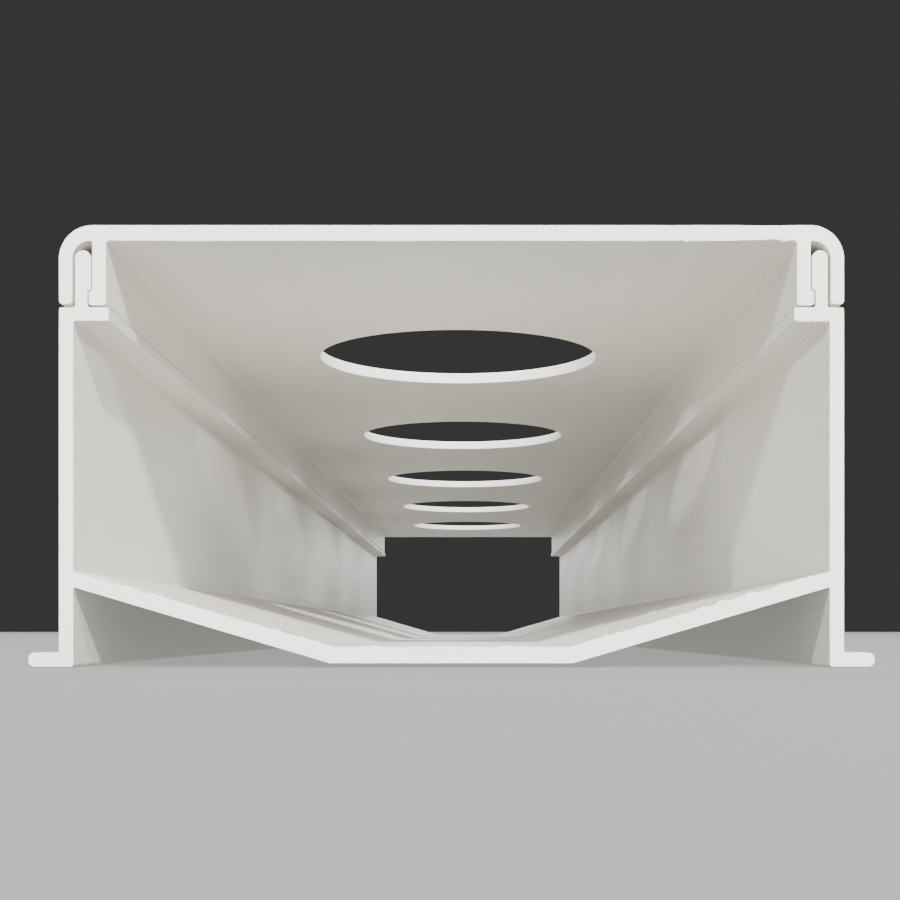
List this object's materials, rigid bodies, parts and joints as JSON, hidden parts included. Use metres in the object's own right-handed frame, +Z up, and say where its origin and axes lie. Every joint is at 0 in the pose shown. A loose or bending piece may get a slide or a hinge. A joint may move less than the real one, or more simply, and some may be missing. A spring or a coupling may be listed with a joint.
{
  "type": "trough feeder",
  "caption": "Long open-ended white plastic channel with a V floor, side walls and foot flanges, closed by a clip-on cover with a row of large round openings.",
  "frame": {"origin": "middle of the footprint, on the ground under the feet", "axes": "+Y along the trough, +X across it, +Z up through the cover"},
  "size_m": [0.219, 1.143, 0.1143],
  "materials": {
    "trough_pvc": "satin white rigid PVC, extruded",
    "cover_pvc": "satin white rigid PVC, extruded"
  },
  "bodies": {
    "trough": {"trough": "trough_pvc"},
    "cover": {"cover": "cover_pvc"}
  },
  "joints": [
    {"name": "cover_slide", "type": "slide", "parent": "trough", "child": "cover", "axis": [0, 1, 0], "range_m": [-1, 1]}
  ]
}
